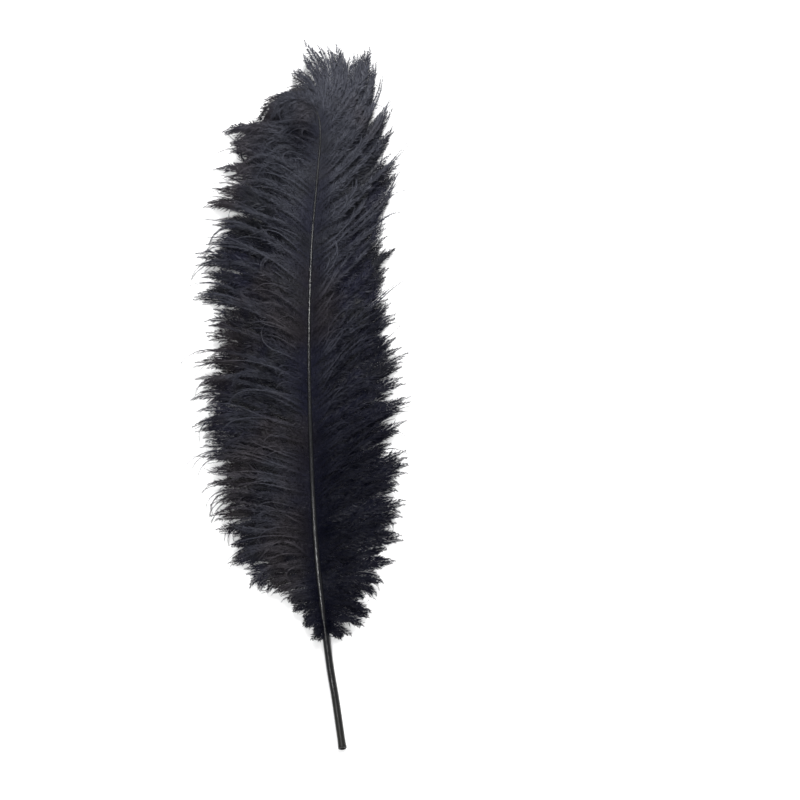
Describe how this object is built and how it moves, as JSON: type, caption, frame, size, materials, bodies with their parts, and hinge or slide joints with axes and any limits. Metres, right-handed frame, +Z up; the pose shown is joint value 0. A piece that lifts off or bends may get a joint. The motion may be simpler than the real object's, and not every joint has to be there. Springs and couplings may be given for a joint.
{
  "type": "ostrich feather",
  "caption": "Black-dyed ostrich plume lying flat: a glossy tapering shaft, wide soft vane of drooping pointed locks and a head that curls over to one side.",
  "frame": {"origin": "middle of the feather's outline, on the surface that it lies on", "axes": "+Y along the shaft from the cut quill to the head, +X to the right seen from above, +Z up from the surface"},
  "size_m": [0.1218, 0.3788, 0.024],
  "materials": {
    "plumage": "soft dyed barbs, satin sheen"
  },
  "bodies": {
    "root": {"feather": "plumage"}
  },
  "joints": []
}
